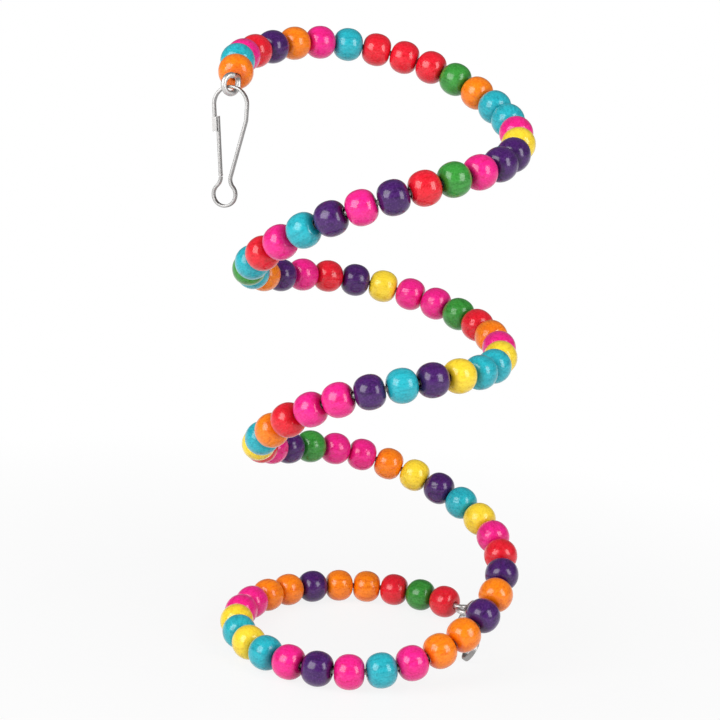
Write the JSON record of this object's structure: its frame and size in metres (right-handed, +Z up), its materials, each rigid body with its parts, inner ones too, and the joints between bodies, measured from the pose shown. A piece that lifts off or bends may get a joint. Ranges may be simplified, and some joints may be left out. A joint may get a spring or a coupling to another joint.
{
  "type": "bird swing",
  "caption": "Springy spiral perch swing of lacquered wooden beads threaded on a bent steel wire, with a spring clip hooked in the eye at each end for hanging it in a cage.",
  "frame": {"origin": "middle of the footprint, on the floor that the lowest turn stands on", "axes": "+Z up along the spiral, +X to the right and +Y away from the viewer as pictured"},
  "size_m": [0.0976, 0.094, 0.1793],
  "materials": {
    "wire_steel": "bright drawn",
    "clip_steel": "bright zinc-plated",
    "bead_orange": "stained, glossy clear lacquer",
    "bead_teal": "stained, glossy clear lacquer",
    "bead_pink": "stained, glossy clear lacquer",
    "bead_red": "stained, glossy clear lacquer",
    "bead_purple": "stained, glossy clear lacquer",
    "bead_green": "stained, glossy clear lacquer",
    "bead_yellow": "stained, glossy clear lacquer"
  },
  "bodies": {
    "wire": {"spiral_wire": "wire_steel", "orange_beads": "bead_orange", "teal_beads": "bead_teal", "pink_beads": "bead_pink", "red_beads": "bead_red", "purple_beads": "bead_purple", "green_beads": "bead_green", "yellow_beads": "bead_yellow"},
    "upper_clip": {"upper_clip": "clip_steel"},
    "upper_gate": {"upper_clip_gate": "clip_steel"},
    "lower_clip": {"lower_clip": "clip_steel"},
    "lower_gate": {"lower_clip_gate": "clip_steel"},
    "bead_01": {"bead_01_orange": "bead_orange"},
    "bead_03": {"bead_03_pink": "bead_pink"},
    "bead_05": {"bead_05_purple": "bead_purple"},
    "bead_07": {"bead_07_pink": "bead_pink"},
    "bead_09": {"bead_09_red": "bead_red"},
    "bead_11": {"bead_11_red": "bead_red"},
    "bead_13": {"bead_13_orange": "bead_orange"},
    "bead_15": {"bead_15_teal": "bead_teal"},
    "bead_17": {"bead_17_yellow": "bead_yellow"},
    "bead_19": {"bead_19_purple": "bead_purple"},
    "bead_21": {"bead_21_green": "bead_green"},
    "bead_23": {"bead_23_purple": "bead_purple"},
    "bead_25": {"bead_25_purple": "bead_purple"},
    "bead_27": {"bead_27_pink": "bead_pink"},
    "bead_29": {"bead_29_teal": "bead_teal"},
    "bead_31": {"bead_31_teal": "bead_teal"},
    "bead_33": {"bead_33_purple": "bead_purple"},
    "bead_35": {"bead_35_red": "bead_red"},
    "bead_37": {"bead_37_yellow": "bead_yellow"},
    "bead_39": {"bead_39_pink": "bead_pink"},
    "bead_41": {"bead_41_red": "bead_red"},
    "bead_43": {"bead_43_pink": "bead_pink"},
    "bead_45": {"bead_45_teal": "bead_teal"},
    "bead_47": {"bead_47_yellow": "bead_yellow"},
    "bead_49": {"bead_49_teal": "bead_teal"},
    "bead_51": {"bead_51_pink": "bead_pink"},
    "bead_53": {"bead_53_red": "bead_red"},
    "bead_55": {"bead_55_teal": "bead_teal"},
    "bead_57": {"bead_57_red": "bead_red"},
    "bead_59": {"bead_59_purple": "bead_purple"},
    "bead_61": {"bead_61_pink": "bead_pink"},
    "bead_63": {"bead_63_orange": "bead_orange"},
    "bead_65": {"bead_65_purple": "bead_purple"},
    "bead_67": {"bead_67_yellow": "bead_yellow"},
    "bead_69": {"bead_69_red": "bead_red"},
    "bead_71": {"bead_71_orange": "bead_orange"},
    "bead_73": {"bead_73_orange": "bead_orange"},
    "bead_75": {"bead_75_pink": "bead_pink"},
    "bead_77": {"bead_77_pink": "bead_pink"},
    "bead_79": {"bead_79_pink": "bead_pink"},
    "bead_81": {"bead_81_yellow": "bead_yellow"},
    "bead_83": {"bead_83_yellow": "bead_yellow"},
    "bead_85": {"bead_85_pink": "bead_pink"},
    "bead_87": {"bead_87_orange": "bead_orange"},
    "bead_89": {"bead_89_orange": "bead_orange"},
    "bead_91": {"bead_91_red": "bead_red"},
    "bead_93": {"bead_93_red": "bead_red"}
  },
  "joints": [
    {"name": "clip_swing_lower", "type": "hinge", "parent": "wire", "child": "lower_clip", "pos_m": [0.03647, 0.01575, 0.005], "axis": [-0.866, -0.0319, 0.4991], "range_deg": [0, 35]},
    {"name": "clip_swing_upper", "type": "hinge", "parent": "wire", "child": "upper_clip", "pos_m": [-0.04385, -0.01374, 0.15886], "axis": [0.2756, 0.9613, 0], "range_deg": [-45, 45]},
    {"name": "gate_flex_lower", "type": "hinge", "parent": "lower_clip", "child": "lower_gate", "pos_m": [0.03585, -0.00666, 0.00249], "axis": [0.866, 0.0319, -0.4991], "range_deg": [0, 20], "stiffness_Nm_per_rad": 0.02, "springref_deg": -5.73},
    {"name": "gate_flex_upper", "type": "hinge", "parent": "upper_clip", "child": "upper_gate", "pos_m": [-0.04512, -0.01338, 0.13634], "axis": [0.2756, 0.9613, 0], "range_deg": [0, 20], "stiffness_Nm_per_rad": 0.02, "springref_deg": -5.73},
    {"name": "spin_bead_01", "type": "hinge", "parent": "wire", "child": "bead_01", "pos_m": [-0.04336, -0.00612, 0.16467], "axis": [-0.1308, 0.9254, 0.3556], "continuous": true},
    {"name": "spin_bead_03", "type": "hinge", "parent": "wire", "child": "bead_03", "pos_m": [-0.04296, 0.01103, 0.16895], "axis": [0.1959, 0.9686, 0.1533], "continuous": true},
    {"name": "spin_bead_05", "type": "hinge", "parent": "wire", "child": "bead_05", "pos_m": [-0.03575, 0.0269, 0.17194], "axis": [0.5989, 0.7811, 0.1765], "continuous": true},
    {"name": "spin_bead_07", "type": "hinge", "parent": "wire", "child": "bead_07", "pos_m": [-0.02221, 0.038, 0.1743], "axis": [0.8962, 0.441, 0.0472], "continuous": true},
    {"name": "spin_bead_09", "type": "hinge", "parent": "wire", "child": "bead_09", "pos_m": [-0.00504, 0.04202, 0.17341], "axis": [0.9894, 0.0044, -0.1448], "continuous": true},
    {"name": "spin_bead_11", "type": "hinge", "parent": "wire", "child": "bead_11", "pos_m": [0.01197, 0.03905, 0.16943], "axis": [0.8952, -0.3325, -0.2966], "continuous": true},
    {"name": "spin_bead_13", "type": "hinge", "parent": "wire", "child": "bead_13", "pos_m": [0.02611, 0.03044, 0.1631], "axis": [0.6699, -0.6275, -0.3968], "continuous": true},
    {"name": "spin_bead_15", "type": "hinge", "parent": "wire", "child": "bead_15", "pos_m": [0.03515, 0.01686, 0.15622], "axis": [0.3291, -0.8718, -0.3628], "continuous": true},
    {"name": "spin_bead_17", "type": "hinge", "parent": "wire", "child": "bead_17", "pos_m": [0.03747, 0.00028, 0.1505], "axis": [-0.0868, -0.9531, -0.2898], "continuous": true},
    {"name": "spin_bead_19", "type": "hinge", "parent": "wire", "child": "bead_19", "pos_m": [0.0317, -0.01564, 0.14552], "axis": [-0.5478, -0.796, -0.2573], "continuous": true},
    {"name": "spin_bead_21", "type": "hinge", "parent": "wire", "child": "bead_21", "pos_m": [0.01889, -0.02709, 0.14126], "axis": [-0.8367, -0.4778, -0.2678], "continuous": true},
    {"name": "spin_bead_23", "type": "hinge", "parent": "wire", "child": "bead_23", "pos_m": [0.00294, -0.03235, 0.13562], "axis": [-0.9283, -0.1046, -0.3569], "continuous": true},
    {"name": "spin_bead_25", "type": "hinge", "parent": "wire", "child": "bead_25", "pos_m": [-0.01323, -0.03082, 0.12854], "axis": [-0.8553, 0.2683, -0.4433], "continuous": true},
    {"name": "spin_bead_27", "type": "hinge", "parent": "wire", "child": "bead_27", "pos_m": [-0.02676, -0.02305, 0.12014], "axis": [-0.6413, 0.5929, -0.487], "continuous": true},
    {"name": "spin_bead_29", "type": "hinge", "parent": "wire", "child": "bead_29", "pos_m": [-0.03501, -0.00961, 0.1122], "axis": [-0.2653, 0.8839, -0.3853], "continuous": true},
    {"name": "spin_bead_31", "type": "hinge", "parent": "wire", "child": "bead_31", "pos_m": [-0.03579, 0.0072, 0.10685], "axis": [0.1894, 0.957, -0.2196], "continuous": true},
    {"name": "spin_bead_33", "type": "hinge", "parent": "wire", "child": "bead_33", "pos_m": [-0.02839, 0.02303, 0.10444], "axis": [0.6231, 0.7808, -0.045], "continuous": true},
    {"name": "spin_bead_35", "type": "hinge", "parent": "wire", "child": "bead_35", "pos_m": [-0.01442, 0.03382, 0.10378], "axis": [0.9125, 0.4011, -0.0804], "continuous": true},
    {"name": "spin_bead_37", "type": "hinge", "parent": "wire", "child": "bead_37", "pos_m": [0.00284, 0.03676, 0.10155], "axis": [0.984, -0.0716, -0.163], "continuous": true},
    {"name": "spin_bead_39", "type": "hinge", "parent": "wire", "child": "bead_39", "pos_m": [0.01944, 0.03163, 0.09822], "axis": [0.8453, -0.4939, -0.2038], "continuous": true},
    {"name": "spin_bead_41", "type": "hinge", "parent": "wire", "child": "bead_41", "pos_m": [0.03197, 0.01972, 0.09451], "axis": [0.5332, -0.8205, -0.2062], "continuous": true},
    {"name": "spin_bead_43", "type": "hinge", "parent": "wire", "child": "bead_43", "pos_m": [0.03777, 0.00337, 0.09111], "axis": [0.1058, -0.98, -0.1685], "continuous": true},
    {"name": "spin_bead_45", "type": "hinge", "parent": "wire", "child": "bead_45", "pos_m": [0.0354, -0.01396, 0.08874], "axis": [-0.3721, -0.9237, -0.0909], "continuous": true},
    {"name": "spin_bead_47", "type": "hinge", "parent": "wire", "child": "bead_47", "pos_m": [0.02503, -0.02822, 0.08793], "axis": [-0.7643, -0.6436, -0.0395], "continuous": true},
    {"name": "spin_bead_49", "type": "hinge", "parent": "wire", "child": "bead_49", "pos_m": [0.00938, -0.03602, 0.08557], "axis": [-0.9522, -0.2116, -0.2202], "continuous": true},
    {"name": "spin_bead_51", "type": "hinge", "parent": "wire", "child": "bead_51", "pos_m": [-0.00741, -0.03562, 0.08015], "axis": [-0.8856, 0.238, -0.3988], "continuous": true},
    {"name": "spin_bead_53", "type": "hinge", "parent": "wire", "child": "bead_53", "pos_m": [-0.02092, -0.02798, 0.07172], "axis": [-0.5986, 0.6019, -0.5286], "continuous": true},
    {"name": "spin_bead_55", "type": "hinge", "parent": "wire", "child": "bead_55", "pos_m": [-0.02852, -0.01477, 0.06275], "axis": [-0.2469, 0.8578, -0.4508], "continuous": true},
    {"name": "spin_bead_57", "type": "hinge", "parent": "wire", "child": "bead_57", "pos_m": [-0.02938, 0.00161, 0.05613], "axis": [0.1742, 0.9414, -0.289], "continuous": true},
    {"name": "spin_bead_59", "type": "hinge", "parent": "wire", "child": "bead_59", "pos_m": [-0.02202, 0.01723, 0.0526], "axis": [0.6318, 0.7689, -0.0982], "continuous": true},
    {"name": "spin_bead_61", "type": "hinge", "parent": "wire", "child": "bead_61", "pos_m": [-0.00794, 0.02771, 0.0508], "axis": [0.9102, 0.3785, -0.1685], "continuous": true},
    {"name": "spin_bead_63", "type": "hinge", "parent": "wire", "child": "bead_63", "pos_m": [0.00905, 0.03021, 0.04668], "axis": [0.9572, -0.0849, -0.2768], "continuous": true},
    {"name": "spin_bead_65", "type": "hinge", "parent": "wire", "child": "bead_65", "pos_m": [0.02521, 0.02523, 0.04141], "axis": [0.83, -0.4659, -0.3067], "continuous": true},
    {"name": "spin_bead_67", "type": "hinge", "parent": "wire", "child": "bead_67", "pos_m": [0.03771, 0.01403, 0.03579], "axis": [0.5385, -0.772, -0.3376], "continuous": true},
    {"name": "spin_bead_69", "type": "hinge", "parent": "wire", "child": "bead_69", "pos_m": [0.04369, -0.00141, 0.02958], "axis": [0.1205, -0.9301, -0.347], "continuous": true},
    {"name": "spin_bead_71", "type": "hinge", "parent": "wire", "child": "bead_71", "pos_m": [0.04187, -0.01756, 0.02264], "axis": [-0.3205, -0.8357, -0.446], "continuous": true},
    {"name": "spin_bead_73", "type": "hinge", "parent": "wire", "child": "bead_73", "pos_m": [0.03277, -0.03033, 0.01444], "axis": [-0.6725, -0.6058, -0.4251], "continuous": true},
    {"name": "spin_bead_75", "type": "hinge", "parent": "wire", "child": "bead_75", "pos_m": [0.0186, -0.03898, 0.0082], "axis": [-0.8987, -0.3489, -0.2658], "continuous": true},
    {"name": "spin_bead_77", "type": "hinge", "parent": "wire", "child": "bead_77", "pos_m": [0.00141, -0.04202, 0.00532], "axis": [-0.9986, 0.0131, -0.0521], "continuous": true},
    {"name": "spin_bead_79", "type": "hinge", "parent": "wire", "child": "bead_79", "pos_m": [-0.01555, -0.03729, 0.00502], "axis": [-0.8509, 0.5252, -0.0061], "continuous": true},
    {"name": "spin_bead_81", "type": "hinge", "parent": "wire", "child": "bead_81", "pos_m": [-0.02769, -0.02447, 0.005], "axis": [-0.4967, 0.8679, 0], "continuous": true},
    {"name": "spin_bead_83", "type": "hinge", "parent": "wire", "child": "bead_83", "pos_m": [-0.03268, -0.00752, 0.005], "axis": [-0.0532, 0.9986, 0], "continuous": true},
    {"name": "spin_bead_85", "type": "hinge", "parent": "wire", "child": "bead_85", "pos_m": [-0.0296, 0.00989, 0.005], "axis": [0.3921, 0.9199, 0], "continuous": true},
    {"name": "spin_bead_87", "type": "hinge", "parent": "wire", "child": "bead_87", "pos_m": [-0.01917, 0.02417, 0.005], "axis": [0.7583, 0.6519, 0], "continuous": true},
    {"name": "spin_bead_89", "type": "hinge", "parent": "wire", "child": "bead_89", "pos_m": [-0.00346, 0.03225, 0.005], "axis": [0.9714, 0.2373, 0], "continuous": true},
    {"name": "spin_bead_91", "type": "hinge", "parent": "wire", "child": "bead_91", "pos_m": [0.01422, 0.03235, 0.005], "axis": [0.9746, -0.2241, 0], "continuous": true},
    {"name": "spin_bead_93", "type": "hinge", "parent": "wire", "child": "bead_93", "pos_m": [0.03009, 0.02457, 0.005], "axis": [0.7742, -0.6329, 0], "continuous": true}
  ]
}
